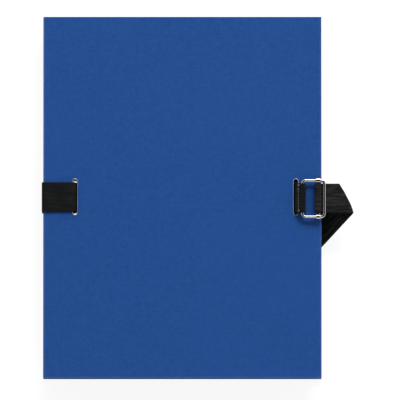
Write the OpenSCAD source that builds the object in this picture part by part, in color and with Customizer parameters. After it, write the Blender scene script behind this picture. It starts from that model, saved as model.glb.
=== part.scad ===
// Strap-closed expanding document case, lying closed on its back.
// +X runs from the spine to the fore-edge, +Y from the foot to the head, +Z up through the case.

/* [Covers] */
// Width of a cover, spine edge to fore-edge
cover_w = 246; // [236:1:256]
// Height of a cover, foot to head
cover_h = 320; // [306:1:336]
// Thickness of the grey board inside a cover
board_t = 2.2; // [1.8:0.1:3]
// Thickness of the covering
cloth_t = 0.3; // [0.2:0.05:0.4]
// Thickness of the lining paper
lining_t = 0.25; // [0.15:0.05:0.3]
// Width of the covering turned in over the board's edges
turn_in = 15; // [12:1:18]
// Clear height inside the closed case
inner_h = 14; // [14:0.5:24]

/* [Strap] */
// Width of the webbing
strap_w = 26; // [20:1:27]
// Thickness of the webbing
strap_t = 1.2; // [1:0.1:1.3]
// Centre of the spine slot, measured from the spine edge
spine_slot_in = 28.1; // [24:0.1:34]
// Centre of the fore-edge slot, measured from the fore-edge
fore_slot_in = 22.6; // [22:0.1:24]
// Clear width of a slot eyelet's mouth
slot_w = 3.4; // [3.2:0.1:4]
// Overall length of a slot eyelet
eyelet_l = 33; // [31:0.5:36]
// Width of an eyelet's flange around its mouth
eyelet_rim = 0.8; // [0.6:0.1:1]

/* [Buckle] */
// Overall width of the buckle along the strap
buckle_w = 21.9; // [21:0.1:23]
// Overall length of the buckle across the strap
buckle_l = 34.9; // [34:0.1:38]
// Diameter of the buckle's wire
wire_d = 2.7; // [2.4:0.1:2.8]
// Distance from the middle of the case to the buckle's centre, towards the foot
buckle_drop = 1.85; // [1:0.05:2]
// Distance from the middle of the case to the middle line of the strap's end, towards the foot
end_drop = 1.35; // [0.5:0.05:1.5]

/* [Flaps and gusset] */
// Reach of a flap's panel over the papers
flap_reach = 70; // [50:1:80]
// Thickness of the flap card
flap_t = 0.8; // [0.5:0.1:1]
// Depth of the pleats in the spine gusset
pleat_in = 21; // [12:1:22]
// Thickness of the gusset's cloth
gusset_t = 0.5; // [0.4:0.1:0.7]

/* [Hidden] */
$fn = 48;
cover_t = board_t + 2*cloth_t + lining_t;
spine_x = -cover_w/2;
fore_x = cover_w/2;
head_y = cover_h/2;

// The strap lies this far off each cover's faces, so that it clears the eyelet flanges
strap_gap = 0.5;
flange_t = 0.4;
barrel_t = 0.35;
slot_fit = 0.05;
bend_r = 0.5 + strap_t/2;

// Heights of the covers' faces above the surface the case lies on
back_out_z = strap_t + strap_gap;
back_in_z = back_out_z + cover_t;
front_in_z = back_in_z + inner_h;
front_out_z = front_in_z + cover_t;

slots = [spine_x + spine_slot_in, fore_x - fore_slot_in];

// Gap between two layers of strap, and between the strap and a bar that it passes round
layer_gap = 0.15;
bar_gap = 0.3;

// Buckle bars, with two layers of strap under the far bar
wire_r = wire_d/2;
buckle_z = front_out_z + 0.2 + 2*strap_t + 2*layer_gap + wire_r;
buckle_x = 115.85 + (fore_x - 123);
near_bar_x = buckle_x - buckle_w/2 + wire_r;
side_wire_y = buckle_l/2 - wire_r;
corner_r = 2.9;

// Sliding bar
slider_x = 120 + (fore_x - 123);
slider_w = 3;
slider_t = 1.5;
knuckle_r = 2.35;
knuckle_l = 4.2;
knuckle_fit = 0.1;

// Strap levels, at the middle of the webbing
load_z = front_out_z + 0.2 + strap_t/2;
tail_z = load_z + strap_t + layer_gap;
strap_out = 0.2 + strap_t/2;

// Strap end: fold line from the upper edge to the tip, then the free end running back
fold_x = 139 + (fore_x - 123);
fold_run = 11.3;
fold_dip = 20;
tail_edge_y = strap_w/2 - end_drop;
tail_lower_y = -strap_w/2 - end_drop;
fold_angle = atan2(-strap_w, fold_run);
fold_bulge_r = strap_t + layer_gap/2;
free_upper_l = 19;
free_lower_l = 42.2;

// The origin is the middle of the whole footprint, strap end included
left_reach = spine_x - 0.2 - strap_t;
right_reach = fold_x + fold_run + fold_bulge_r;
case_x = -(left_reach + right_reach)/2;

// Flaps: heights of the creases and the places of the walls
flap_top_z = front_in_z - 2.05;
crease_z = flap_top_z - flap_t - 0.15;
wall_low_z = back_in_z + 0.45;
wall_high_z = crease_z - 0.2;
head_wall_y = head_y - 4;
fore_wall_x = fore_x - 3.4;
flap_spine_x = spine_x + 25;
flap_fore_x = fore_wall_x - 2.1;
tab_w = 12;

blue = [0.13, 0.29, 0.56];
black = [0.09, 0.1, 0.1];
nickel = [0.75, 0.75, 0.74];
grey = [0.55, 0.54, 0.52];
paper = [0.16, 0.3, 0.52];
navy = [0.08, 0.14, 0.3];

// ---- Placing ----

module in_case() translate([case_x, 0, 0]) children();

// A cover is drawn with its outer face at z = 0 and its inner face at z = cover_t
module at_back() in_case() translate([0, 0, back_out_z]) children();

module at_front() in_case() translate([0, 0, front_out_z]) mirror([0, 0, 1]) children();

module slab(low, high) translate(low) cube(high - low);

// ---- Cover pieces ----

module stadium(w, l) {
    square([w, l - w], center = true);
    for (end = [-1, 1]) translate([0, end*(l - w)/2]) circle(d = w);
}

module slot_cuts() {
    cut_w = slot_w + 2*barrel_t + 2*slot_fit;
    cut_l = eyelet_l - 2*eyelet_rim + 2*barrel_t + 2*slot_fit;
    for (x = slots) translate([x, 0, -1]) linear_extrude(cover_t + 2) stadium(cut_w, cut_l);
}

module cover_board() {
    difference() {
        slab([spine_x + cloth_t, -head_y + cloth_t, cloth_t],
             [fore_x - cloth_t, head_y - cloth_t, cloth_t + board_t]);
        slot_cuts();
    }
}

module cover_cloth() {
    difference() {
        slab([spine_x, -head_y, 0], [fore_x, head_y, board_t + 2*cloth_t]);
        slab([spine_x + cloth_t, -head_y + cloth_t, cloth_t],
             [fore_x - cloth_t, head_y - cloth_t, cloth_t + board_t]);
        slab([spine_x + turn_in, -head_y + turn_in, cloth_t + board_t/2],
             [fore_x - turn_in, head_y - turn_in, cover_t + 1]);
        slot_cuts();
    }
}

// The lining fills the window between the turn-ins and laps over them
module cover_lining(fore_in, end_in) {
    inner = board_t + 2*cloth_t;
    difference() {
        union() {
            slab([spine_x + 16, -head_y + end_in, inner],
                 [fore_x - fore_in, head_y - end_in, cover_t]);
            slab([spine_x + turn_in + 1, -head_y + turn_in, inner - cloth_t],
                 [fore_x - turn_in, head_y - turn_in, inner]);
        }
        slot_cuts();
    }
}

module joint_cloth() {
    slab([spine_x + 0.3, -head_y + 3, board_t + 2*cloth_t],
         [spine_x + 15.5, head_y - 3, cover_t]);
}

module eyelet_ring(w, l, t) {
    linear_extrude(t) difference() {
        stadium(w, l);
        stadium(slot_w, eyelet_l - 2*eyelet_rim);
    }
}

module slot_eyelet(x) {
    mouth_l = eyelet_l - 2*eyelet_rim;
    translate([x, 0, -flange_t]) {
        eyelet_ring(slot_w + 2*eyelet_rim, eyelet_l, flange_t);
        eyelet_ring(slot_w + 2*barrel_t, mouth_l + 2*barrel_t, cover_t + 2*flange_t);
        translate([0, 0, cover_t + flange_t])
            eyelet_ring(slot_w + 2*eyelet_rim, eyelet_l, flange_t);
    }
}

module back_board() { color(grey) at_back() cover_board(); }
module back_cover_cloth() { color(blue) at_back() cover_cloth(); }
module back_lining() { color(paper) at_back() cover_lining(turn_in + 2, turn_in + 2); }
module back_joint_cloth() { color(navy) at_back() joint_cloth(); }
module back_spine_eyelet() { color(nickel) at_back() slot_eyelet(slots[0]); }
module back_fore_edge_eyelet() { color(nickel) at_back() slot_eyelet(slots[1]); }

module front_board() { color(grey) at_front() cover_board(); }
module front_cover_cloth() { color(blue) at_front() cover_cloth(); }
module front_lining() { color(paper) at_front() cover_lining(4, 4); }
module front_joint_cloth() { color(navy) at_front() joint_cloth(); }
module front_spine_eyelet() { color(nickel) at_front() slot_eyelet(slots[0]); }
module front_fore_edge_eyelet() { color(nickel) at_front() slot_eyelet(slots[1]); }

// ---- Bent strips, drawn as a middle line in X and Z and given a thickness ----

function arc(c, r, a0, a1, n = 6) =
    [for (i = [0:n]) let (a = a0 + (a1 - a0)*i/n) c + r*[cos(a), sin(a)]];

function unit(v) = v/norm(v);

function side(path, i) =
    let (a = path[max(i - 1, 0)], b = path[min(i + 1, len(path) - 1)], d = unit(b - a))
    [-d[1], d[0]];

function strip(path, t) = concat(
    [for (i = [0:len(path) - 1]) path[i] + side(path, i)*t/2],
    [for (i = [len(path) - 1:-1:0]) path[i] - side(path, i)*t/2]
);

module bent_strip(path, t, w, y) {
    translate([0, y + w/2, 0]) rotate([90, 0, 0]) linear_extrude(w) polygon(strip(path, t));
}

// ---- Spine gusset ----

gusset_low = back_in_z + 0.45;
gusset_high = front_in_z - 1.45;

module spine_gusset() {
    rise = (gusset_high - gusset_low)/4;
    folds = [for (i = [0:4]) [spine_x + 1.2 + (i % 2)*pleat_in, gusset_low + i*rise]];
    color(navy) in_case() bent_strip(folds, gusset_t, 2*head_y - 8, 0);
}

module spine_front_fold() {
    color(navy) in_case() slab([spine_x + 0.6, -head_y + 4, front_in_z - 1.05],
                               [spine_x + 2.6, head_y - 4, front_in_z - 0.55]);
}

// ---- Flaps ----

// A panel hinged at y = 0 that reaches towards -y, with its ends cut back at 45 degrees
module flap_panel_shape(low_x, high_x) {
    polygon([[low_x, 0], [high_x, 0],
             [high_x - flap_reach, -flap_reach], [low_x + flap_reach, -flap_reach]]);
}

// Draws at the head; the foot flap is its mirror image
module end_flap_tab() {
    in_case() slab([flap_spine_x, head_wall_y - tab_w, back_in_z - lining_t],
                   [flap_fore_x, head_wall_y, back_in_z]);
}

module end_flap_wall() {
    in_case() slab([flap_spine_x, head_wall_y - flap_t, wall_low_z],
                   [flap_fore_x, head_wall_y, wall_high_z]);
}

module end_flap_panel() {
    in_case() translate([0, head_wall_y, flap_top_z - flap_t])
        linear_extrude(flap_t) flap_panel_shape(flap_spine_x, flap_fore_x);
}

module head_flap_tab() { color(blue) end_flap_tab(); }
module head_flap_wall() { color(blue) end_flap_wall(); }
module head_flap_panel() { color(blue) end_flap_panel(); }
module foot_flap_tab() { color(blue) mirror([0, 1, 0]) end_flap_tab(); }
module foot_flap_wall() { color(blue) mirror([0, 1, 0]) end_flap_wall(); }
module foot_flap_panel() { color(blue) mirror([0, 1, 0]) end_flap_panel(); }

fore_flap_half = head_wall_y - 1.5;

module fore_edge_flap_tab() {
    color(blue) in_case() slab([fore_wall_x - tab_w, -fore_flap_half + tab_w, back_in_z - lining_t],
                               [fore_wall_x, fore_flap_half - tab_w, back_in_z]);
}

module fore_edge_flap_wall() {
    color(blue) in_case() slab([fore_wall_x - flap_t, -fore_flap_half, wall_low_z],
                               [fore_wall_x, fore_flap_half, wall_high_z]);
}

module fore_edge_flap_panel() {
    color(blue) in_case() translate([fore_wall_x, 0, flap_top_z - flap_t]) rotate([0, 0, -90])
        linear_extrude(flap_t) flap_panel_shape(-fore_flap_half, fore_flap_half);
}

// ---- Strap ----

back_strap_z = strap_t/2;
front_strap_z = front_out_z + strap_gap + strap_t/2;
wrap_x = spine_x - strap_out + bend_r;
fore_wrap_x = fore_x + strap_out - bend_r;

// Gap left where one run of the strap stops and the next begins
run_gap = 0.3;

// Middle line of the run along a cover: round the edge's foot, in at one slot and out at the other
back_path = concat(
    [[wrap_x + run_gap, back_strap_z]],
    arc([slots[0] - bend_r, back_out_z], bend_r, -90, 0),
    arc([slots[0] + bend_r, back_in_z], bend_r, 180, 90),
    arc([slots[1] - bend_r, back_in_z], bend_r, 90, 0),
    arc([slots[1] + bend_r, back_out_z], bend_r, 180, 270),
    [[fore_wrap_x - run_gap, back_strap_z]]
);

front_path = concat(
    [[wrap_x + run_gap, front_strap_z]],
    arc([slots[0] - bend_r, front_out_z], bend_r, 90, 0),
    arc([slots[0] + bend_r, front_in_z], bend_r, 180, 270),
    arc([slots[1] - bend_r, front_in_z], bend_r, 270, 360),
    [[slots[1], front_out_z]]
);

spine_path = concat(
    arc([wrap_x, back_out_z], bend_r, 270, 180),
    arc([wrap_x, front_out_z], bend_r, 180, 90)
);

run_top_z = front_in_z + 1;
fore_edge_path = concat(
    arc([fore_wrap_x, back_out_z], bend_r, 270, 360),
    [[fore_x + strap_out, run_top_z]]
);

// Round the sliding bar and back under the far bar, to the fold
u_r = 1.1;
u_x = slider_x - slider_w/2 - bar_gap - strap_t/2 + u_r;
u_top_z = buckle_z + slider_t/2 + bar_gap + strap_t/2;
pinch_r = 1.5;
pinch_a = 15;
pinch_x = slider_x + 0.9;
pinch_drop = (u_top_z - pinch_r + pinch_r*sin(pinch_a)) - (tail_z + pinch_r - pinch_r*sin(pinch_a));
pinch_end_x = pinch_x + 2*pinch_r*cos(pinch_a) + pinch_drop*tan(pinch_a);

end_path = concat(
    [[fore_x + strap_out, run_top_z]],
    arc([fore_x + strap_out - bend_r, load_z - bend_r], bend_r, 0, 90),
    arc([u_x, load_z + u_r], u_r, 270, 180),
    arc([u_x, u_top_z - u_r], u_r, 180, 90),
    arc([pinch_x, u_top_z - pinch_r], pinch_r, 90, pinch_a),
    arc([pinch_end_x, tail_z + pinch_r], pinch_r, 180 + pinch_a, 270),
    [[fold_x - 8, tail_z]]
);

module strap_back_run() { color(black) in_case() bent_strip(back_path, strap_t, strap_w, 0); }
module strap_spine_run() { color(black) in_case() bent_strip(spine_path, strap_t, strap_w, 0); }
module strap_front_run() { color(black) in_case() bent_strip(front_path, strap_t, strap_w, 0); }

module strap_fore_edge_run() {
    color(black) in_case() bent_strip(fore_edge_path, strap_t, strap_w, -end_drop);
}

// The free end lies in the frame of its fold: x along the fold line, y towards the case
module free_end() {
    fold_l = norm([fold_run, strap_w]);
    back_dir = [cos(fold_angle), -sin(fold_angle)]/cos(fold_dip);
    upper = free_upper_l*back_dir;
    lower = [fold_l, 0] + free_lower_l*back_dir;
    linear_extrude(strap_t) polygon([[0, 0], upper, lower, [fold_l, 0]]);
}

module strap_end() {
    fold_l = norm([fold_run, strap_w]);
    color(black) in_case() {
        bent_strip(end_path, strap_t, strap_w, -end_drop);
        translate([0, 0, tail_z - strap_t/2]) linear_extrude(strap_t)
            polygon([[fold_x - 8.5, tail_edge_y], [fold_x, tail_edge_y],
                     [fold_x + fold_run, tail_lower_y], [fold_x - 8.5, tail_lower_y]]);
        translate([fold_x, tail_edge_y, tail_z - strap_t/2 - layer_gap/2]) rotate([0, 0, fold_angle]) {
            rotate([0, 90, 0]) cylinder(r = fold_bulge_r, h = fold_l);
            mirror([0, 1, 0]) rotate([-fold_dip, 0, 0]) translate([0, 0, -fold_bulge_r]) free_end();
        }
    }
}

// Sewn loop: up out of the slot, over the near bar, round it, and back under itself
loop_r = wire_r + bar_gap + strap_t/2;
loop_c = [near_bar_x, buckle_z];
lower_end = [slots[1] + 1.6, front_out_z + strap_gap + strap_t/2 + 0.1];
loop_path = concat(
    [[slots[1], front_out_z]],
    [[slots[1], front_out_z + 0.9]],
    arc([slots[1] + bend_r, front_out_z + 2.2], bend_r, 180, 130, 3),
    arc(loop_c, loop_r, 125, -100, 14),
    [lower_end]
);

module strap_buckle_loop() { color(black) in_case() bent_strip(loop_path, strap_t, strap_w, -end_drop); }

// Stitches lie on the upper layer, between the slot and the near bar
stitch_n = 9;
module strap_stitching() {
    rise_from = [slots[1] + bend_r + bend_r*cos(130), front_out_z + 2.2 + bend_r*sin(130)];
    rise_to = loop_c + loop_r*[cos(125), sin(125)];
    along = unit(rise_to - rise_from);
    slope = atan2(along[1], along[0]);
    foot = (rise_from + rise_to)/2 + strap_t/2*[-along[1], along[0]] + 0.06*[-along[1], along[0]];
    pitch = (strap_w - 2)/stitch_n;
    color([0.35, 0.34, 0.28]) in_case() for (i = [0:stitch_n - 1])
        translate([foot[0], (i - (stitch_n - 1)/2)*pitch - end_drop, foot[1]]) rotate([0, -slope, 0])
            translate([-0.25, -pitch*0.38, 0]) cube([0.5, pitch*0.76, 0.3]);
}

// ---- Buckle ----

module at_buckle() in_case() translate([buckle_x, -buckle_drop, buckle_z]) children();

module buckle_frame() {
    half_w = buckle_w/2 - wire_r;
    color(nickel) at_buckle() {
        for (s = [-1, 1]) {
            translate([s*half_w, 0, 0]) rotate([90, 0, 0])
                cylinder(r = wire_r, h = 2*(side_wire_y - corner_r), center = true);
            translate([0, s*side_wire_y, 0]) rotate([0, 90, 0])
                cylinder(r = wire_r, h = 2*(half_w - corner_r), center = true);
        }
        for (s = [-1, 1]) for (t = [-1, 1])
            translate([s*(half_w - corner_r), t*(side_wire_y - corner_r), 0])
                rotate([0, 0, (t > 0 ? (s > 0 ? 0 : 90) : (s > 0 ? 270 : 180))])
                    rotate_extrude(angle = 90) translate([corner_r, 0]) circle(r = wire_r);
    }
}

module buckle_slider() {
    color(nickel) at_buckle() translate([slider_x - buckle_x, 0, 0]) difference() {
        union() {
            cube([slider_w, 2*side_wire_y, slider_t], center = true);
            for (s = [-1, 1]) translate([0, s*side_wire_y, 0]) rotate([0, 90, 0])
                cylinder(r = knuckle_r, h = knuckle_l, center = true);
        }
        for (s = [-1, 1]) translate([0, s*side_wire_y, 0]) rotate([0, 90, 0])
            cylinder(r = wire_r + knuckle_fit, h = knuckle_l + 2, center = true);
    }
}

back_board();
back_cover_cloth();
back_lining();
back_joint_cloth();
back_spine_eyelet();
back_fore_edge_eyelet();
front_board();
front_cover_cloth();
front_lining();
front_joint_cloth();
front_spine_eyelet();
front_fore_edge_eyelet();
spine_gusset();
spine_front_fold();
head_flap_tab();
head_flap_wall();
head_flap_panel();
foot_flap_tab();
foot_flap_wall();
foot_flap_panel();
fore_edge_flap_tab();
fore_edge_flap_wall();
fore_edge_flap_panel();
strap_back_run();
strap_spine_run();
strap_front_run();
strap_fore_edge_run();
strap_end();
strap_buckle_loop();
strap_stitching();
buckle_frame();
buckle_slider();
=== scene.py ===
import math
import bpy
import numpy as np
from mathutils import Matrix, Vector


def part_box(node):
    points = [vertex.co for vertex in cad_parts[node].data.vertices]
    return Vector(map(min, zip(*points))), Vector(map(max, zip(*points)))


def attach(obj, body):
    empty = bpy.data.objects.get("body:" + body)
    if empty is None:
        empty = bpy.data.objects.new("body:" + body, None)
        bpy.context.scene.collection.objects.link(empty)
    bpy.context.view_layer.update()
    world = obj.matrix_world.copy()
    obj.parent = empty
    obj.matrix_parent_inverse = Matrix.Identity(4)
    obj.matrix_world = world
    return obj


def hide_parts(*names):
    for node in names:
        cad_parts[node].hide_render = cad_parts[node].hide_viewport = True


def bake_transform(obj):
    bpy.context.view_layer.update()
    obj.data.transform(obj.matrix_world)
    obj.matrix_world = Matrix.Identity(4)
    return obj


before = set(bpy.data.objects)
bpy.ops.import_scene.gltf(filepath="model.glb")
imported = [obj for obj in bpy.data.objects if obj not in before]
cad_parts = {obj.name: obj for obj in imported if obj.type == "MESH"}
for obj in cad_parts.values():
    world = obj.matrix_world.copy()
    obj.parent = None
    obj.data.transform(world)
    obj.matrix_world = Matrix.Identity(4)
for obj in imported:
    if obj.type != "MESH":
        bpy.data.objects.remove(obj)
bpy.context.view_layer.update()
MM = 0.001

# ---- Places and sizes in millimetres: from the frame's boxes, or numbers where no box gives them ----


def box_mm(node):
    low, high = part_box(node)
    return [a / MM for a in low], [a / MM for a in high]


def centre_mm(node):
    return [(a + b) / 2 for a, b in zip(*box_mm(node))]


# The two covers, alike but for the way they face, and the slots that the strap goes through
CASE_X = centre_mm("front_cover_cloth")[0]
(SPINE_X, _, _), (FORE_X, HEAD_Y, FRONT_OUT_Z) = box_mm("front_cover_cloth")
FRONT_IN_Z = box_mm("front_lining")[0][2]
BACK_OUT_Z = box_mm("back_cover_cloth")[0][2]
BACK_IN_Z = box_mm("back_lining")[1][2]
COVER_T = FRONT_OUT_Z - FRONT_IN_Z
SPINE_SLOT_X = centre_mm("front_spine_eyelet")[0]
FORE_SLOT_X = centre_mm("front_fore_edge_eyelet")[0]

# The webbing: its thickness, its gaps from a cover's face and edge, and its middle line's bend
STRAP_T = 1.2
STRAP_GAP = 0.5
WRAP_GAP = 0.2
BEND_R = 0.5 + STRAP_T / 2
SPINE_RUN_LOW, SPINE_RUN_HIGH = box_mm("strap_spine_run")
STRAP_W = SPINE_RUN_HIGH[1] - SPINE_RUN_LOW[1]
END_Y = centre_mm("strap_fore_edge_run")[1]
RUN_TOP_Z = box_mm("strap_fore_edge_run")[1][2]

# The buckle: its wire, the bars' middle lines, and the rolled ends of its sliding bar
FRAME_LOW, FRAME_HIGH = box_mm("buckle_frame")
BUCKLE_X, BUCKLE_Y, BUCKLE_Z = centre_mm("buckle_frame")
WIRE_R = (FRAME_HIGH[2] - FRAME_LOW[2]) / 2
NEAR_BAR_X = FRAME_LOW[0] + WIRE_R
SIDE_WIRE_Y = (FRAME_HIGH[1] - FRAME_LOW[1]) / 2 - WIRE_R
CORNER_R = 2.9
SLIDER_X = centre_mm("buckle_slider")[0]
SLIDER_LOW, SLIDER_HIGH = box_mm("buckle_slider")
SLIDER_W, SLIDER_T = 3.0, 1.5
KNUCKLE_L = SLIDER_HIGH[0] - SLIDER_LOW[0]
KNUCKLE_R = (SLIDER_HIGH[2] - SLIDER_LOW[2]) / 2

# ---- Materials ----

RANGE_SOCKETS = ("From Min", "From Max", "To Min", "To Max")


def rgba(colour):
    """A plain colour with its alpha; a socket stays as it is."""
    return (*colour, 1.0) if isinstance(colour, tuple) else colour


class Shader:
    """A material and short ways to add nodes to it."""

    def __init__(self, name):
        self.material = bpy.data.materials.new(name)
        self.material.use_nodes = True
        self.tree = self.material.node_tree
        self.bsdf = self.tree.nodes["Principled BSDF"]
        self.coords = self.add("ShaderNodeTexCoord").outputs["Object"]

    def add(self, kind, **values):
        node = self.tree.nodes.new(kind)
        for key, value in values.items():
            setattr(node, key, value)
        return node

    def link(self, source, target):
        """Set a socket to a value, or feed it from another socket."""
        if isinstance(source, (int, float, tuple)):
            target.default_value = source
        else:
            self.tree.links.new(source, target)

    def maths(self, operation, a, b=0.0):
        node = self.add("ShaderNodeMath", operation=operation)
        self.link(a, node.inputs[0])
        self.link(b, node.inputs[1])
        return node.outputs[0]

    def axes(self, vector):
        node = self.add("ShaderNodeSeparateXYZ")
        self.link(vector, node.inputs[0])
        return node.outputs

    def stretched(self, vector, scale):
        node = self.add("ShaderNodeMapping")
        self.link(vector, node.inputs["Vector"])
        node.inputs["Scale"].default_value = scale
        return node.outputs[0]

    def noise(self, size_mm, detail=3.0, rough=0.5, vector=None):
        node = self.add("ShaderNodeTexNoise")
        self.link(vector or self.coords, node.inputs["Vector"])
        node.inputs["Scale"].default_value = 1.0 / (size_mm * MM)
        node.inputs["Detail"].default_value = detail
        node.inputs["Roughness"].default_value = rough
        return node.outputs["Fac"]

    def ramp(self, value, low, high, out_low=0.0, out_high=1.0):
        """Go smoothly from out_low to out_high as the value goes from low to high."""
        node = self.add("ShaderNodeMapRange", clamp=True, interpolation_type="SMOOTHSTEP")
        self.link(value, node.inputs["Value"])
        for name, number in zip(RANGE_SOCKETS, (low, high, out_low, out_high)):
            node.inputs[name].default_value = number
        return node.outputs["Result"]

    def mix(self, factor, a, b):
        node = self.add("ShaderNodeMix", data_type="RGBA")
        self.link(factor, node.inputs["Factor"])
        self.link(rgba(a), node.inputs[6])
        self.link(rgba(b), node.inputs[7])
        return node.outputs[2]

    def ridges(self, value_m, pitch_mm):
        """Rounded ridges along a coordinate in metres: 0 in the grooves, 1 on the crests."""
        turns = self.maths("MULTIPLY", value_m, math.pi / (pitch_mm * MM))
        return self.maths("ABSOLUTE", self.maths("SINE", turns))

    def finish(self, colour, rough, height=None, depth_mm=0.05, strength=1.0, **constants):
        """Wire up the surface; constants are values of its other sockets, with _ for each space."""
        self.link(rgba(colour), self.bsdf.inputs["Base Color"])
        self.link(rough, self.bsdf.inputs["Roughness"])
        if height is not None:
            bump = self.add("ShaderNodeBump")
            bump.inputs["Distance"].default_value = depth_mm * MM
            bump.inputs["Strength"].default_value = strength
            self.link(height, bump.inputs["Height"])
            self.link(bump.outputs[0], self.bsdf.inputs["Normal"])
        for name, value in constants.items():
            self.bsdf.inputs[name.replace("_", " ")].default_value = value
        return self.material


def covering_material(name, tone, edge_tone, grain_mm=0.55, edge_lightness=0.5):
    """Blue covering paper: an embossed linen grain, faint clouds, and edges that are lighter in patches."""
    s = Shader(name)
    x, y, _ = s.axes(s.coords)
    drift = s.maths("MULTIPLY", s.noise(6, 2), 0.9 * MM)
    warp = s.ridges(s.maths("ADD", x, drift), grain_mm)
    weft = s.ridges(s.maths("ADD", y, drift), grain_mm * 1.15)
    threads = s.maths("MULTIPLY", s.maths("ADD", warp, weft), 0.5)
    slubs = s.noise(1.6, 4, 0.65, s.stretched(s.coords, (0.35, 1.0, 1.0)))
    slubs_up = s.noise(1.6, 4, 0.65, s.stretched(s.coords, (1.0, 0.35, 1.0)))
    grain = s.maths("MULTIPLY", s.maths("ADD", slubs, slubs_up), 0.5)
    clouds = s.noise(70, 3)
    dark = tuple(c * 0.86 for c in tone)
    light = tuple(c * 1.04 + grey for c, grey in zip(tone, (0.003, 0.006, 0.008)))
    colour = s.mix(s.ramp(grain, 0.36, 0.64), dark, light)
    colour = s.mix(s.maths("MULTIPLY", threads, 0.22), colour, tone)
    colour = s.mix(s.ramp(clouds, 0.35, 0.7, 0.0, 0.22), colour, light)
    # Lighter towards the edges, in patches: up to 2.4 mm in at the sides and 0.9 mm in at head and foot
    across = s.maths("ABSOLUTE", s.maths("SUBTRACT", x, CASE_X * MM))
    edge_x = s.ramp(across, (FORE_X - CASE_X - 2.4) * MM, (FORE_X - CASE_X - 0.1) * MM)
    edge_y = s.ramp(s.maths("ABSOLUTE", y), (HEAD_Y - 0.9) * MM, (HEAD_Y - 0.1) * MM)
    edge = s.maths("MAXIMUM", edge_x, edge_y)
    lighter_edge = s.maths("MULTIPLY", edge, s.ramp(s.noise(3.5, 5, 0.7), 0.3, 0.7, 0.25 * edge_lightness, edge_lightness))
    colour = s.mix(lighter_edge, colour, edge_tone)
    height = s.maths("ADD", s.maths("MULTIPLY", threads, 0.6), s.maths("MULTIPLY", grain, 0.8))
    rough = s.ramp(grain, 0.3, 0.7, 0.52, 0.66)
    return s.finish(colour, rough, height, 0.05, 0.7, Specular_IOR_Level=0.12)


def cloth_material(name, tone):
    """Plain-weave book cloth."""
    s = Shader(name)
    x, y, z = s.axes(s.coords)
    weft = s.ridges(y, 0.5)
    warp = s.ridges(s.maths("ADD", x, z), 0.45)
    weave = s.maths("MULTIPLY", weft, warp)
    fuzz = s.noise(0.8, 4, 0.6)
    dark = tuple(c * 0.55 for c in tone)
    light = tuple(c * 1.35 for c in tone)
    height = s.maths("ADD", weave, fuzz)
    colour = s.mix(s.ramp(height, 0.5, 1.4), dark, light)
    return s.finish(colour, 0.85, height, 0.08, 0.8, Specular_IOR_Level=0.15, Sheen_Weight=0.06)


def webbing_material(name, crest):
    """Black cotton webbing: warp cords along the strap, crossed by fine weft bumps in a herringbone.
    crest is the tone of the raised yarns and of the streaks of painted sheen along them."""
    s = Shader(name)
    uv = s.add("ShaderNodeUVMap", uv_map="run").outputs[0]
    along, across, _ = s.axes(uv)
    cords = s.ridges(across, 1.05)
    lean = s.maths("PINGPONG", across, 3.2 * MM)
    weft = s.ridges(s.maths("ADD", along, lean), 0.8)
    weave = s.maths("ADD", s.maths("MULTIPLY", cords, 0.65), s.maths("MULTIPLY", weft, 0.45))
    streaks = s.noise(2.2, 4, 0.6, s.stretched(uv, (0.12, 1.0, 1.0)))
    fuzz = s.noise(0.5, 3, 0.6)
    patches = s.ramp(s.noise(9, 2), 0.3, 0.7, 0.5, 1.0)
    # Lighter streaks in patches along the strap: painted sheen
    painted_sheen_streaks = s.maths("MULTIPLY", s.ramp(streaks, 0.35, 0.68), patches)
    tone = s.maths("ADD", s.maths("MULTIPLY", weave, 0.35), s.maths("MULTIPLY", painted_sheen_streaks, 0.65))
    colour = s.mix(s.ramp(tone, 0.15, 0.95), (0.0018, 0.0024, 0.0028), crest)
    from_middle = s.maths("ABSOLUTE", across)
    selvedge = s.ramp(from_middle, (STRAP_W / 2 - 1.6) * MM, (STRAP_W / 2 - 1.1) * MM)
    colour = s.mix(s.maths("MULTIPLY", selvedge, 0.6), colour, (0.006, 0.0065, 0.007))
    height = s.maths("ADD", weave, s.maths("MULTIPLY", fuzz, 0.35))
    rough = s.ramp(streaks, 0.3, 0.7, 0.62, 0.82)
    gloss = {"Specular_IOR_Level": 0.1, "Sheen_Weight": 0.02, "Sheen_Roughness": 0.45}
    return s.finish(colour, rough, height, 0.16, **gloss)


def metal_material(name, tone, warm_clouds, rough_low, rough_high, scratch_mm=0.35):
    """Plated steel with fine scratches and faint warmer clouds: faint warm staining on the eyelets, a
    painted warm reflection on the buckle.
    """
    s = Shader(name)
    scratches = s.noise(scratch_mm, 5, 0.7, s.stretched(s.coords, (1.0, 0.15, 1.0)))
    cloud = s.noise(2.4, 3)
    # Warmer clouds over the plain tone; on the buckle they are a painted warm reflection
    colour = s.mix(s.ramp(cloud, 0.5, 0.75, 0.0, 0.5), tone, warm_clouds)
    rough = s.ramp(scratches, 0.3, 0.75, rough_low, rough_high)
    return s.finish(colour, rough, scratches, 0.003, 0.5, Metallic=1.0)


def board_material(name):
    """Grey pulp board, with flecks."""
    s = Shader(name)
    flecks = s.noise(0.5, 5, 0.7)
    layers = s.noise(0.3, 3, 0.6, s.stretched(s.coords, (0.1, 0.1, 1.0)))
    colour = s.mix(s.ramp(flecks, 0.4, 0.7), (0.27, 0.25, 0.22), (0.45, 0.43, 0.38))
    return s.finish(colour, 0.9, s.maths("ADD", flecks, layers), 0.08, 0.7)


def thread_material(name):
    """Twisted sewing thread."""
    s = Shader(name)
    x, y, _ = s.axes(s.coords)
    twist = s.ridges(s.maths("ADD", y, x), 0.3)
    colour = s.mix(twist, (0.06, 0.058, 0.04), (0.2, 0.19, 0.14))
    return s.finish(colour, 0.7, twist, 0.04, 0.8, Sheen_Weight=0.2)


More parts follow.
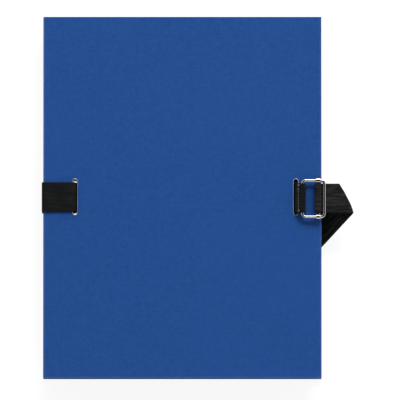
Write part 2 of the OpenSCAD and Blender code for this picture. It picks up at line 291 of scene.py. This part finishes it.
def floor_material():
    """Pale paper that glows by itself as well, so that only faint shadows show on it."""
    s = Shader("pale_floor")
    grain = s.noise(900, 2)
    colour = s.mix(grain, (0.24, 0.24, 0.24), (0.26, 0.26, 0.26))
    s.bsdf.inputs["Emission Color"].default_value = (1, 1, 1, 1)
    return s.finish(colour, 0.9, Emission_Strength=0.86, Specular_IOR_Level=0.0)


PALE_EDGE_CARD = (0.09, 0.15, 0.3)
COVERING = covering_material("blue_linen_paper", (0.0148, 0.0775, 0.303), (0.12, 0.19, 0.36))
LINING = covering_material("blue_lining_paper", (0.03, 0.095, 0.27), PALE_EDGE_CARD, 0.4, 0.2)
CARD = covering_material("blue_flap_card", (0.026, 0.085, 0.255), PALE_EDGE_CARD, 0.7, 0.2)
CLOTH = cloth_material("dark_book_cloth", (0.012, 0.03, 0.1))
WEBBING = webbing_material("black_webbing", (0.011, 0.0125, 0.0125))
# The strap's end: the same webbing with a lighter crest, which is painted sheen
PAINTED_HIGHLIGHT_WEBBING = webbing_material("black_webbing_painted_highlight", (0.034, 0.034, 0.0325))
EYELET = metal_material("eyelet_nickel", (0.42, 0.44, 0.46), (0.36, 0.34, 0.28), 0.28, 0.45)
# The buckle's warmer clouds are a painted warm reflection
NICKEL = metal_material("buckle_nickel", (0.46, 0.45, 0.435), (0.38, 0.29, 0.2), 0.06, 0.14)
BOARD = board_material("grey_board")
THREAD = thread_material("olive_thread")

# ---- Mesh building ----


def added(name, data):
    """A new object in the scene."""
    thing = bpy.data.objects.new(name, data)
    bpy.context.scene.collection.objects.link(thing)
    return thing


def smooth_mesh(name, vertices_mm, faces, material, uv=None):
    """A smooth piece; uv holds each vertex's place along and across its strip."""
    mesh = bpy.data.meshes.new(name)
    mesh.from_pydata([tuple(c * MM for c in v) for v in vertices_mm], [], faces)
    mesh.validate()
    mesh.polygons.foreach_set("use_smooth", [True] * len(mesh.polygons))
    mesh.materials.append(material)
    if uv is not None:
        layer = mesh.uv_layers.new(name="run")
        index = np.empty(len(mesh.loops), int)
        mesh.loops.foreach_get("vertex_index", index)
        layer.data.foreach_set("uv", (np.array(uv)[index] * MM).ravel())
    return added(name, mesh)


def place(piece, body, slot, *nodes):
    """Ride the piece on a body, or, given two, leave it fixed where it is, and let it replace the nodes
    named.
    """
    if isinstance(body, str):
        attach(piece, body)
    else:
        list(body)
        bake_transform(piece)
    if nodes:
        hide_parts(*nodes)


def ring_faces(rings, size, closed=False):
    """Faces that join rings of vertices in a row, capped at both ends unless the row is closed."""
    faces = []
    for i in range(rings if closed else rings - 1):
        a, b = i * size, (i + 1) % rings * size
        for j in range(size):
            k = (j + 1) % size
            faces.append((a + j, a + k, b + k, b + j))
    if not closed:
        faces.append(tuple(reversed(range(size))))
        faces.append(tuple(range((rings - 1) * size, rings * size)))
    return faces


def arc(centre, radius, start, end, steps=14):
    """Points round an arc between two angles in degrees."""
    angles = np.radians(np.linspace(start, end, steps + 1))
    return [(centre[0] + radius * math.cos(a), centre[1] + radius * math.sin(a)) for a in angles]


def normals(points):
    """The unit normal of a line at each of its points, to the left of the way it runs."""
    ahead = np.gradient(points, axis=0)
    ahead /= np.linalg.norm(ahead, axis=1)[:, None]
    return np.c_[-ahead[:, 1], ahead[:, 0]]


def resampled(path, step):
    """Evenly spaced points along a line, with the distance of each before it and its normal after."""
    points = np.array(path, float)
    gaps = np.linalg.norm(np.diff(points, axis=0), axis=1)
    points = points[np.r_[True, gaps > 1e-6]]
    run = np.r_[0, np.cumsum(np.linalg.norm(np.diff(points, axis=0), axis=1))]
    count = max(int(run[-1] / step), 4) + 1
    at = np.linspace(0, run[-1], count)
    even = np.c_[np.interp(at, run, points[:, 0]), np.interp(at, run, points[:, 1])]
    return at, even, normals(even)


def stations_of(at):
    """A strip's stations: each distance along it with its index."""
    return [(distance, i) for i, distance in enumerate(at)]


def softened(points, rounds):
    """Ease a line's corners: each point goes towards its neighbours, and the ends stay."""
    points = points.copy()
    for _ in range(rounds):
        points[1:-1] = (points[:-2] + 2 * points[1:-1] + points[2:]) / 4
    return points


def smooth_step(value, low, high):
    """0 up to low, 1 from high on, and a smooth rise between them."""
    t = min(max((value - low) / (high - low), 0), 1)
    return t * t * (3 - 2 * t)


def columns_across(width, edge, step):
    """Places across a strip, from -width/2 to width/2, closer together over its rounded edges."""
    rounded = [edge * f for f in (0, 0.12, 0.45, 1.0)]
    half = [-width / 2 + r for r in rounded]
    inner = np.linspace(half[-1], -half[-1], max(int((width - 2 * edge) / step), 2) + 1)
    return np.array(half[:-1] + list(inner) + [-c for c in reversed(half[:-1])])


def half_thickness(column, width, edge, thick):
    """Half a strip's thickness, which falls to nothing over its rounded edges."""
    past = max(abs(column) - (width / 2 - edge), 0) / edge
    return thick / 2 * math.sqrt(max(1 - past * past, 0))


def skin(name, stations, columns, thick_at, point, material):
    """A strip's whole skin. A station is a distance along the strip and its index;
    thick_at(column) is half the thickness there; point(station, column, height) is a vertex's place."""
    top = [(c, thick_at(c)) for c in columns]
    ring = top + [(c, -h) for c, h in reversed(top[1:-1])]
    vertices, uv = [], []
    for station in stations:
        for c, h in ring:
            vertices.append(point(station, c, h))
            uv.append((station[0], c))
    return smooth_mesh(name, vertices, ring_faces(len(stations), len(ring)), material, uv)


def wave(a, b, seed):
    """A slow uneven swell between about -1 and 1, the same every time."""
    slow = math.sin(a * 0.21 + seed)
    slanted = math.sin(b * 0.33 + a * 0.09 + 2.1 * seed)
    quick = math.sin(a * 0.57 - b * 0.17 + seed)
    return (slow + slanted + quick) / 3


STRAP_EDGE = 0.55
STRAP_COLUMNS = columns_across(STRAP_W, STRAP_EDGE, 0.5)


def webbing_half(column, selvedge_groove=0.0):
    """Half the webbing's thickness: rounded edges, ribs along it, and a groove by each selvedge."""
    rib_pitch, rib_height = 1.05, 0.035
    ribs_start, groove_in, groove_w = 0.6, 1.3, 0.35
    half = half_thickness(column, STRAP_W, STRAP_EDGE, STRAP_T - 0.12)
    from_edge = STRAP_W / 2 - abs(column)
    if from_edge <= ribs_start:
        return half
    rib = rib_height * math.cos(column / rib_pitch * math.pi * 2)
    groove = selvedge_groove * math.exp(-((from_edge - groove_in) / groove_w) ** 2)
    return half + rib - groove


def webbing(name, path, y, seed, step=0.7, swell=0.0):
    """A run of strap along a line in X and Z."""
    at, even, normal = resampled(path, step)

    def groove_half(column):
        return webbing_half(column, 0.05)

    def point(station, column, height):
        i = station[1]
        away_from_ends = 2 < i < len(at) - 3
        lift = height + (swell * wave(at[i], column, seed) if away_from_ends else 0)
        return (even[i][0] + normal[i][0] * lift, y + column, even[i][1] + normal[i][1] * lift)

    piece = skin(name, stations_of(at), STRAP_COLUMNS, groove_half, point, WEBBING)
    return piece


# ---- Covers ----


def rounded_copy(node, name, material, width_mm, body, slot):
    """A CAD node's own shape with its sharp outer edges eased and its broad faces left flat."""
    piece = added(name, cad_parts[node].data.copy())
    piece.data.materials.clear()
    piece.data.materials.append(material)
    merge = {"decimate_type": "DISSOLVE", "angle_limit": math.radians(2)}
    ease = {"width": width_mm * MM, "segments": 3, "limit_method": "ANGLE", "angle_limit": math.radians(50)}
    for kind, values in (("WELD", {"merge_threshold": 1e-6}), ("DECIMATE", merge), ("BEVEL", ease)):
        modifier = piece.modifiers.new(kind.lower(), kind)
        for key, value in values.items():
            setattr(modifier, key, value)
    graph = bpy.context.evaluated_depsgraph_get()
    final = bpy.data.meshes.new_from_object(piece.evaluated_get(graph))
    piece.modifiers.clear()
    piece.data = final
    flat_above = (2 * width_mm * MM) ** 2
    smooth = [face.area < flat_above or len(face.vertices) == 3 for face in final.polygons]
    final.polygons.foreach_set("use_smooth", smooth)
    place(piece, body, slot, node)


# How wide the eased edges of covered board and of thin paper or card are
BOARD_EDGE = 0.45
PAPER_EDGE = 0.08


def make_covers():
    for side in ("front", "back"):
        body, hinge = side + "_cover", side + "_hinge_cloth"
        rounded_copy(side + "_cover_cloth", side + "_covering", COVERING, BOARD_EDGE, body, "covering")
        rounded_copy(side + "_lining", side + "_lining_paper", LINING, PAPER_EDGE, body, "lining")
        rounded_copy(side + "_joint_cloth", hinge, CLOTH, PAPER_EDGE, body, "spine_cloth")
        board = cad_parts[side + "_board"].data
        board.materials.clear()
        board.materials.append(BOARD)


def stadium_ring(length, width, count_end=14, count_side=10):
    """Points and outward normals round a slot with round ends."""
    straight, radius = (length - width) / 2, width / 2
    ring = []
    for end in (1, -1):
        for a in np.linspace(0, math.pi, count_end, endpoint=False):
            n = (math.cos(a) * end, math.sin(a) * end)
            ring.append(((radius * n[0], end * straight + radius * n[1]), n))
        for f in np.linspace(0, 1, count_side, endpoint=False):
            ring.append(((-end * radius, end * straight * (1 - 2 * f)), (-end, 0)))
    return ring


def make_eyelet(node, body):
    """A pressed slot eyelet: a rolled lip outside, a barrel through the cover, a clenched lip inside.
    Its profile is the distance out from the slot's mouth and the height above the cover's face."""
    low, high = box_mm(node)
    middle_x = centre_mm(node)[0]
    rim, flange, barrel = 0.8, 0.4, 0.35
    mouth_w = high[0] - low[0] - 2 * rim
    mouth_l = high[1] - low[1] - 2 * rim
    up = 1 if body == "front_cover" else -1
    face_z = high[2] - flange if up > 0 else low[2] + flange
    half_turn = np.linspace(0, math.pi, 9)
    lip = [(rim / 2 - rim / 2 * math.cos(a), flange * math.sin(a)) for a in half_turn]
    profile = lip + [(barrel, 0.0), (barrel, -COVER_T)]
    profile += [(out, -COVER_T - height) for out, height in reversed(lip)]
    profile += [(0.0, -COVER_T + 0.5), (0.0, -0.5)]
    vertices = []
    ring = stadium_ring(mouth_l, mouth_w)
    for k, ((mouth_x, mouth_y), normal) in enumerate(ring):
        for out, height in profile:
            if height < -COVER_T and out > rim / 2:
                out += 0.05 * math.sin(k * 1.7)
            x = middle_x + mouth_x + normal[0] * out
            vertices.append((x, mouth_y + normal[1] * out, face_z + up * height))
    piece = smooth_mesh(node + "_shell", vertices, ring_faces(len(ring), len(profile), True), EYELET)
    place(piece, body, "eyelet_nickel", node)


# ---- Strap ----

# The strap's middle line above and below the case, and the centres of its bends at the two edges
OUT_Z = FRONT_OUT_Z + STRAP_GAP + STRAP_T / 2
LOW_Z = STRAP_T / 2
WRAP_X = SPINE_X - WRAP_GAP - STRAP_T / 2 + BEND_R
FORE_WRAP_X = FORE_X + WRAP_GAP + STRAP_T / 2 - BEND_R


def spot(x, z):
    """A place on the strap's middle line, in metres."""
    return (x * MM, 0, z * MM)


def make_front_run():
    front = [(WRAP_X, OUT_Z)]
    front += arc((SPINE_SLOT_X - BEND_R, FRONT_OUT_Z), BEND_R, 90, 0)
    front += arc((SPINE_SLOT_X + BEND_R, FRONT_IN_Z), BEND_R, 180, 270)
    front += arc((FORE_SLOT_X - BEND_R, FRONT_IN_Z), BEND_R, 270, 360)
    front += [(FORE_SLOT_X, FRONT_OUT_Z)]
    piece = webbing("strap_front_webbing", front, 0, seed=1.3, swell=0.05)
    place(piece, "front_cover", "webbing", "strap_front_run")


def make_back_run():
    back = [(WRAP_X, LOW_Z)]
    back += arc((SPINE_SLOT_X - BEND_R, BACK_OUT_Z), BEND_R, -90, 0)
    back += arc((SPINE_SLOT_X + BEND_R, BACK_IN_Z), BEND_R, 180, 90)
    back += arc((FORE_SLOT_X - BEND_R, BACK_IN_Z), BEND_R, 90, 0)
    back += arc((FORE_SLOT_X + BEND_R, BACK_OUT_Z), BEND_R, 180, 270)
    back += [(FORE_WRAP_X, LOW_Z)]
    piece = webbing("strap_back_webbing", back, 0, seed=2.2)
    place(piece, "back_cover", "webbing", "strap_back_run")


def make_spine_run():
    """Two pieces, each bent between the top of the gusset and a cover."""
    x = WRAP_X - BEND_R
    split_z = FRONT_IN_Z - 6.5
    lower = arc((WRAP_X, BACK_OUT_Z), BEND_R, 270, 180) + [(x, split_z)]
    upper = [(x, split_z)] + arc((WRAP_X, FRONT_OUT_Z), BEND_R, 180, 90)
    low_piece = webbing("strap_spine_webbing_lower", lower, 0, seed=3.1)
    high_piece = webbing("strap_spine_webbing_upper", upper, 0, seed=3.1)
    low_bend = ("back_cover", "spine_head", spot(x, 3), spot(x, split_z))
    high_bend = ("spine_head", "front_cover", spot(x, split_z), spot(x, OUT_Z))
    place(low_piece, low_bend, "webbing", "strap_spine_run")
    place(high_piece, high_bend, "webbing")


def make_fore_edge_run():
    """The bend up from under the back cover, and the rise from it to the strap's end."""
    x = FORE_WRAP_X + BEND_R
    foot_z = BACK_OUT_Z + 2
    foot = arc((FORE_WRAP_X, BACK_OUT_Z), BEND_R, 270, 360) + [(x, foot_z)]
    foot_piece = webbing("strap_fore_edge_webbing_foot", foot, END_Y, seed=4.0)
    rise_piece = webbing("strap_fore_edge_webbing", [(x, foot_z), (x, RUN_TOP_Z)], END_Y, seed=4.0)
    bend = ("back_cover", "strap_fore_edge", spot(FORE_WRAP_X, LOW_Z), spot(x, foot_z - 0.5))
    stretch = ("strap_fore_edge", "strap_tongue", spot(x, foot_z), spot(x, RUN_TOP_Z))
    place(foot_piece, bend, "webbing", "strap_fore_edge_run")
    place(rise_piece, stretch, "webbing")


# The sewn loop: its bend above the slot, and its turn round the buckle's near bar
BAR_GAP = 0.3
RISE = arc((FORE_SLOT_X + BEND_R, FRONT_OUT_Z + 2.2), BEND_R, 180, 130)
ROUND_BAR = arc((NEAR_BAR_X, BUCKLE_Z), WIRE_R + BAR_GAP + STRAP_T / 2, 125, -100, 30)


def make_buckle_loop():
    path = [(FORE_SLOT_X, FRONT_OUT_Z), (FORE_SLOT_X, FRONT_OUT_Z + 0.9)] + RISE + ROUND_BAR
    path.append((FORE_SLOT_X + 1.6, OUT_Z + 0.1))
    piece = webbing("strap_loop_webbing", path, END_Y, seed=5.0, step=0.4, swell=0.02)
    place(piece, "front_cover", "webbing", "strap_buckle_loop")


def stitch(vertices, faces, start, end, lift, radius=0.2, steps=10, sides=8):
    """Add one arched stitch from start to end; lift is the unit direction away from the strap."""
    start, end, lift = (np.array(v, float) for v in (start, end, lift))
    ahead = (end - start) / np.linalg.norm(end - start)
    across = np.cross(ahead, lift)
    base = len(vertices)
    for i in range(steps + 1):
        f = i / steps
        rise = 0.28 * math.sin(math.pi * f) - 0.1
        middle = start + (end - start) * f + lift * rise
        for k in range(sides):
            a = 2 * math.pi * k / sides
            vertices.append(tuple(middle + radius * (across * math.cos(a) + lift * math.sin(a))))
    faces += [tuple(base + corner for corner in face) for face in ring_faces(steps + 1, sides)]


def make_stitching():
    """A row of slanted stitches across the sewn loop, with three bar stitches at each end of it."""
    rise_from, rise_to = np.array(RISE[-1]), np.array(ROUND_BAR[0])
    along = (rise_to - rise_from) / np.linalg.norm(rise_to - rise_from)
    up = np.array([-along[1], along[0]])
    lift = (up[0], 0, up[1])
    vertices, faces = [], []
    pitch, reach = 2.6, STRAP_W / 2 - 1.4
    foot = (rise_from + rise_to) / 2 + up * (STRAP_T / 2 - 0.02)
    for i in range(int(2 * reach / pitch)):
        y = END_Y - reach + pitch * (i + 0.5) + 0.1
        a, b = foot - along * 0.1, foot + along * 0.1
        half = pitch * 0.38
        stitch(vertices, faces, (a[0], y - half, a[1]), (b[0], y + half, b[1]), lift)
    for side in (-1, 1):
        for k in range(3):
            a, b = foot - along * (0.9 - 0.1 * k), foot + along * (1.0 + 0.1 * k)
            y = END_Y + side * (reach + 0.35 - 0.5 * k)
            stitch(vertices, faces, (a[0], y, a[1]), (b[0], y - side * 0.3, b[1]), lift)
    piece = smooth_mesh("buckle_loop_stitches", vertices, faces, THREAD)
    place(piece, "front_cover", "thread", "strap_stitching")


# The strap's end goes in over the cover's edge at LOAD_Z, turns back round the sliding bar, comes
# out on top of itself at TAIL_Z, and is folded over once. The fold's line slants out from FOLD_X by
# FOLD_RUN over the strap's width, and the part folded under dips by FOLD_DIP degrees
LOAD_Z = FRONT_OUT_Z + WRAP_GAP + STRAP_T / 2
TAIL_LAYER = 0.15
TAIL_Z = LOAD_Z + STRAP_T + TAIL_LAYER
FOLD_X = CASE_X + 139.6
FOLD_RUN = 10.7
FOLD_BOW = 1.15
FOLD_LAG = 2.0
FOLD_DIP = 20


def tongue_path():
    """The middle line in X and Z from the fore-edge, round the sliding bar and back over itself."""
    u_r, pinch_r, pinch_a = 1.1, 1.5, 15
    u_x = SLIDER_X - SLIDER_W / 2 - BAR_GAP - STRAP_T / 2 + u_r
    u_top = BUCKLE_Z + SLIDER_T / 2 + BAR_GAP + STRAP_T / 2
    pinch_x = SLIDER_X + 0.9
    lean = math.radians(pinch_a)
    drop = (u_top - TAIL_Z) - 2 * pinch_r * (1 - math.sin(lean))
    pinch_end = pinch_x + 2 * pinch_r * math.cos(lean) + drop * math.tan(lean)
    path = [(FORE_WRAP_X + BEND_R, RUN_TOP_Z)]
    path += arc((FORE_WRAP_X, LOAD_Z - BEND_R), BEND_R, 0, 90)
    path += arc((u_x, LOAD_Z + u_r), u_r, 270, 180)
    path += arc((u_x, u_top - u_r), u_r, 180, 90)
    path += arc((pinch_x, u_top - pinch_r), pinch_r, 90, pinch_a)
    path += arc((pinch_end, TAIL_Z + pinch_r), pinch_r, 180 + pinch_a, 270)
    return path


# The fold is a roll of radius ROLL_R through the angle TURN; FOLD_OUT is the direction across it
FOLD_OUT = np.array([STRAP_W, FOLD_RUN]) / math.hypot(FOLD_RUN, STRAP_W)
FOLD_TOP = np.array([FOLD_X, STRAP_W / 2])
ROLL_R = (STRAP_T + TAIL_LAYER) / 2
TURN = math.radians(180 - FOLD_DIP)


def share_down(column):
    """How far a column is from the strap's head side, 0, to its foot side, 1."""
    return min(max(0.5 - column / STRAP_W, 0), 1)


def bow_at(column):
    """How far out from the fold's straight line the cloth folds: it bows out, and lags at the top."""
    f = share_down(column)
    return FOLD_BOW * math.sin(math.pi * f) - FOLD_LAG * (1 - f)


def cut_x(column):
    """Where the cut end lies: clear of the strap's rise at the fore-edge, then tucked under the cover."""
    f = share_down(column)
    return FORE_X + 3.2 - 4.0 * smooth_step(f, 0.23, 0.33) - 0.7 * f


def end_x(column):
    """Where the end would lie if the strap weren't folded, so that the fold brings it to cut_x."""
    fold = FOLD_X + FOLD_RUN * (0.5 - column / STRAP_W)
    rolled = FOLD_OUT[0] * ROLL_R * (math.sin(TURN) - TURN * math.cos(TURN))
    back = FOLD_OUT[0] * (math.cos(TURN) - 1)
    return fold + (cut_x(column) - fold - rolled + back * bow_at(column)) / (1 + FOLD_OUT[0] * back)


def folded(x, column, height):
    """Take a place on the unfolded strap round the fold, and let the lower layer sag."""
    flat = np.array([x, column])
    past = float((flat - FOLD_TOP) @ FOLD_OUT) - bow_at(column)
    if past <= 0:
        return (x, END_Y + column, TAIL_Z + height)
    foot = flat - past * FOLD_OUT
    a = min(past / ROLL_R, TURN)
    rest = past - a * ROLL_R
    reach = ROLL_R * math.sin(a) + rest * math.cos(a) + height * math.sin(a)
    sag = 0.0022 * rest * rest
    z = TAIL_Z - ROLL_R * (1 - math.cos(a)) - rest * math.sin(a) + height * math.cos(a) - sag
    return (foot[0] + FOLD_OUT[0] * reach, END_Y + foot[1] + FOLD_OUT[1] * reach, z)


def make_tongue():
    at, even, normal = resampled(tongue_path(), 0.45)
    last = len(at) - 1
    start_x = even[-1][0]
    rows = 120

    def point(station, column, height):
        i = station[1]
        if i <= last:
            x, z = even[i] + normal[i] * height
            return (x, END_Y + column, z)
        f = (i - last) / rows
        x = start_x + f * (end_x(column) - start_x)
        curl = 0.22 * wave(x * 1.3, column * 1.2, 0.4) * min(f * 6, 1)
        return folded(x, column, height + curl)

    tail = end_x(0) - start_x
    stations = stations_of(at)
    stations += [(at[-1] + tail * k / rows, last + k) for k in range(1, rows + 1)]
    piece = skin("strap_tongue_webbing", stations, STRAP_COLUMNS, webbing_half, point, PAINTED_HIGHLIGHT_WEBBING)
    place(piece, "strap_tongue", "webbing", "strap_end")
    longest = at[-1] + end_x(-STRAP_W / 2) - start_x
    mean = at[-1] + float(np.mean([end_x(column) for column in STRAP_COLUMNS])) - start_x


# ---- Buckle ----


def make_buckle():
    """A rectangle of wire with round corners; where its ends meet, in the loop, it has a slight waist."""
    half_w = BUCKLE_X - NEAR_BAR_X
    path = []
    for sx, sy, first in ((1, 1, 0), (-1, 1, 90), (-1, -1, 180), (1, -1, 270)):
        centre = (sx * (half_w - CORNER_R), sy * (SIDE_WIRE_Y - CORNER_R))
        path += arc(centre, CORNER_R, first, first + 90, 12)
    path.append(path[0])
    _, even, _ = resampled(path, 0.8)
    even = even[:-1]
    count, sides, vertices = len(even), 20, []
    for i, (px, py) in enumerate(even):
        ahead = even[(i + 1) % count] - even[i - 1]
        ahead /= np.linalg.norm(ahead)
        r = WIRE_R * (1 - 0.02 * math.exp(-((px + half_w) ** 2 + py ** 2) / 0.6))
        for k in range(sides):
            a = 2 * math.pi * k / sides
            x = BUCKLE_X + px + ahead[1] * r * math.cos(a)
            y = BUCKLE_Y + py - ahead[0] * r * math.cos(a)
            vertices.append((x, y, BUCKLE_Z + r * math.sin(a)))
    piece = smooth_mesh("buckle_wire_frame", vertices, ring_faces(count, sides, True), NICKEL)
    place(piece, "buckle", "buckle_nickel", "buckle_frame")


def make_slider():
    """A flat bar that widens to ends rolled round the side wires. Its columns are shares of its width."""
    sheet_t, bar_w = 0.86, SLIDER_W - 0.1
    eye_r = KNUCKLE_R - sheet_t / 2
    eye = arc((SIDE_WIRE_Y, 0), eye_r, 172, -150, 40)
    half = [(0, 0), (SIDE_WIRE_Y - eye_r - 0.9, 0), (SIDE_WIRE_Y - eye_r - 0.35, 0.06)] + eye
    path = [(-y, z) for y, z in reversed(half)] + half[1:]
    at, even, normal = resampled(path, 0.35)
    even = softened(even, 3)

    def point(station, column, height):
        i = station[1]
        past_wire = abs(even[i][0]) - (SIDE_WIRE_Y - eye_r)
        width = bar_w + (KNUCKLE_L - bar_w) * smooth_step(past_wire, -1.6, -0.4)
        y, z = even[i] + normal[i] * height
        return (SLIDER_X + column * width, BUCKLE_Y + y, BUCKLE_Z + z)

    def thick_at(column):
        return half_thickness(column, 1.0, 0.12, sheet_t)

    outwards = [0.2, 0.38, 0.45, 0.485, 0.5]
    columns = [-c for c in reversed(outwards)] + [0] + outwards
    piece = skin("buckle_sliding_bar", stations_of(at), columns, thick_at, point, NICKEL)
    place(piece, "slider", "buckle_nickel", "buckle_slider")


# ---- Gusset and flaps ----


def make_gusset():
    """Cloth folded in two pleats."""
    low, high = box_mm("spine_gusset")
    thick, edge, faces = 0.5, 0.3, 4
    z0, z1 = low[2] + thick / 2 + 0.1, high[2] - thick / 2 - 0.1
    x_out, x_in = low[0] + 0.5, high[0] - 0.6
    width = high[1] - low[1] - 0.4
    zigzag = [(x_in if k % 2 else x_out, z0 + (z1 - z0) * k / faces) for k in range(faces + 1)]
    at, even, _ = resampled(zigzag, 0.6)
    even = softened(even, 5)
    normal = normals(even)

    def thick_at(column):
        return half_thickness(column, width, edge, thick)

    def point(station, column, height):
        i = station[1]
        lift = height + 0.25 * wave(at[i] * 0.6, column * 0.25, 1.7)
        return (even[i][0] + normal[i][0] * lift, column, even[i][1] + normal[i][1] * lift)

    columns = columns_across(width, edge, 4)
    piece = skin("spine_gusset_cloth", stations_of(at), columns, thick_at, point, CLOTH)
    x = (x_out + x_in) / 2
    place(piece, ("back_cover", "spine_head", spot(x, z0), spot(x, z1)), "spine_cloth", "spine_gusset")


def folded_flap(name, place_at):
    """A card flap: an upright wall, a rounded crease, and a panel with ends cut back at 45 degrees.
    place_at(inwards, along) gives X and Y from a distance in from the wall and a place along it."""
    wall, panel = name + "_flap_wall", name + "_flap_panel"
    wall_low, _ = box_mm(wall)
    panel_low, panel_high = box_mm(panel)
    thick = panel_high[2] - panel_low[2]
    middle_z = (panel_low[2] + panel_high[2]) / 2
    across_y = panel_high[0] - panel_low[0] > panel_high[1] - panel_low[1]
    along_axis, in_axis = (0, 1) if across_y else (1, 0)
    low, high = panel_low[along_axis], panel_high[along_axis]
    middle = (low + high) / 2
    reach = panel_high[in_axis] - panel_low[in_axis] - thick / 2
    crease_r = 0.9
    crease = arc((crease_r, middle_z - crease_r), crease_r, 180, 90, 8)
    at, even, normal = resampled([(0, wall_low[2])] + crease + [(reach, middle_z)], 0.45)
    span = at[-1]
    # Rows are close together at the wall, the crease and the far edge, and sparse over the flat card
    close_to, close_from, every = 16, span - 1.5, 8
    stations = [s for s in stations_of(at) if not close_to <= s[0] <= close_from or s[1] % every == 0]

    def point(station, column, height):
        i = station[1]
        from_end = min(at[i], span - at[i])
        height *= math.sqrt(max(1 - max(1 - from_end / 0.3, 0) ** 2, 0.02))
        inwards, z = even[i]
        cut_back = max(inwards - crease_r, 0)
        half = (high - low) / 2 - cut_back
        soft = 0.12 * wave(inwards * 0.2, column * 40, 2.6) if inwards > 3 else 0
        x, y = place_at(inwards + normal[i][0] * height, middle + 2 * half * column)
        return (x, y, z + normal[i][1] * height + soft)

    def thick_at(column):
        return half_thickness(column, 1.0, 0.0012, thick)

    outer = [0.4988, 0.4994, 0.49985, 0.5]
    columns = [-c for c in reversed(outer)] + list(np.linspace(-0.495, 0.495, 41)) + outer
    piece = skin(name + "_flap", stations, columns, thick_at, point, CARD)
    bend = 1.3 * crease_r
    x0, y0 = place_at(0, middle)
    x1, y1 = place_at(bend, middle)
    start = (x0 * MM, y0 * MM, (middle_z - bend) * MM)
    end = (x1 * MM, y1 * MM, middle_z * MM)
    place(piece, ("back_cover", name + "_panel", start, end), "flap_card", wall, panel)


def make_flaps():
    rounded_copy("spine_front_fold", "spine_fold_hem", CLOTH, 0.2, "spine_head", "spine_cloth")
    head_y = centre_mm("head_flap_wall")[1]
    fore_x = centre_mm("fore_edge_flap_wall")[0]
    flaps = {
        "head": lambda inwards, along: (along, head_y - inwards),
        "foot": lambda inwards, along: (along, inwards - head_y),
        "fore_edge": lambda inwards, along: (fore_x - inwards, along),
    }
    for name in flaps:
        tab = name + "_flap_tab"
        rounded_copy(tab, tab + "_card", CARD, PAPER_EDGE, "back_cover", "flap_card")
    for name, place_at in flaps.items():
        folded_flap(name, place_at)


# ---- Floor, light and camera ----

# The camera looks down from the foot side, far off, on a view VIEW_W wide at the front cover
ELEVATION = 85
DISTANCE = 12.0
VIEW_W = 353.6 * MM
AIM = ((CASE_X + 15.6) * MM, -2.7 * MM, FRONT_OUT_Z * MM)


def make_stage():
    reach = 30
    mesh = bpy.data.meshes.new("floor")
    corners = [(-reach, -reach, 0), (reach, -reach, 0), (reach, reach, 0), (-reach, reach, 0)]
    mesh.from_pydata(corners, [], [(0, 1, 2, 3)])
    mesh.materials.append(floor_material())
    added("floor", mesh)


def softbox(name, place_at, size, power):
    """A rectangular lamp, in metres and watts, aimed at the case."""
    light = bpy.data.lights.new(name, "AREA")
    light.shape = "RECTANGLE"
    light.size, light.size_y = size
    light.energy = power
    lamp = added(name, light)
    lamp.location = place_at
    lamp.rotation_euler = (-Vector(place_at)).to_track_quat("-Z", "Y").to_euler()


def make_light():
    """A long softbox beyond the head, a weak one by the foot, and a room that is bright low down
    and dim overhead, a little brighter towards the head."""
    softbox("key", (0.7, 3.0, 2.3), (2.8, 1.0), 121)
    softbox("fill", (0.6, -2.6, 2.2), (2.4, 0.8), 14)
    world = bpy.data.worlds.new("studio")
    world.use_nodes = True
    tree = world.node_tree
    split = tree.nodes.new("ShaderNodeSeparateXYZ")
    tree.links.new(tree.nodes.new("ShaderNodeTexCoord").outputs["Generated"], split.inputs[0])

    def ramp(source, *limits):
        node = tree.nodes.new("ShaderNodeMapRange")
        tree.links.new(source, node.inputs["Value"])
        for name, number in zip(RANGE_SOCKETS, limits):
            node.inputs[name].default_value = number
        return node.outputs["Result"]

    strength = tree.nodes.new("ShaderNodeMath")
    strength.operation = "MULTIPLY"
    tree.links.new(ramp(split.outputs[2], 0.34, 0.52, 2.6, 0.05), strength.inputs[0])
    tree.links.new(ramp(split.outputs[1], -0.5, 0.6, 0.5, 1.0), strength.inputs[1])
    background = tree.nodes["Background"]
    background.inputs["Color"].default_value = (1, 1, 1, 1)
    tree.links.new(strength.outputs[0], background.inputs["Strength"])
    bpy.context.scene.world = world
    bpy.context.scene.view_settings.view_transform = "Standard"


def make_camera():
    data = bpy.data.cameras.new("camera")
    data.sensor_width = 36
    data.lens = data.sensor_width * DISTANCE / VIEW_W
    data.clip_end = 100
    camera = added("camera", data)
    a = math.radians(ELEVATION)
    camera.location = (AIM[0], AIM[1] - DISTANCE * math.cos(a), AIM[2] + DISTANCE * math.sin(a))
    camera.rotation_euler = (math.radians(90 - ELEVATION), 0, 0)
    bpy.context.scene.camera = camera


make_camera()
make_stage()
make_light()
make_covers()
for cover in ("front", "back"):
    for edge_name in ("spine", "fore_edge"):
        make_eyelet(f"{cover}_{edge_name}_eyelet", cover + "_cover")
make_front_run()
make_back_run()
make_spine_run()
make_fore_edge_run()
make_buckle_loop()
make_stitching()
make_tongue()
make_buckle()
make_slider()
make_gusset()
make_flaps()
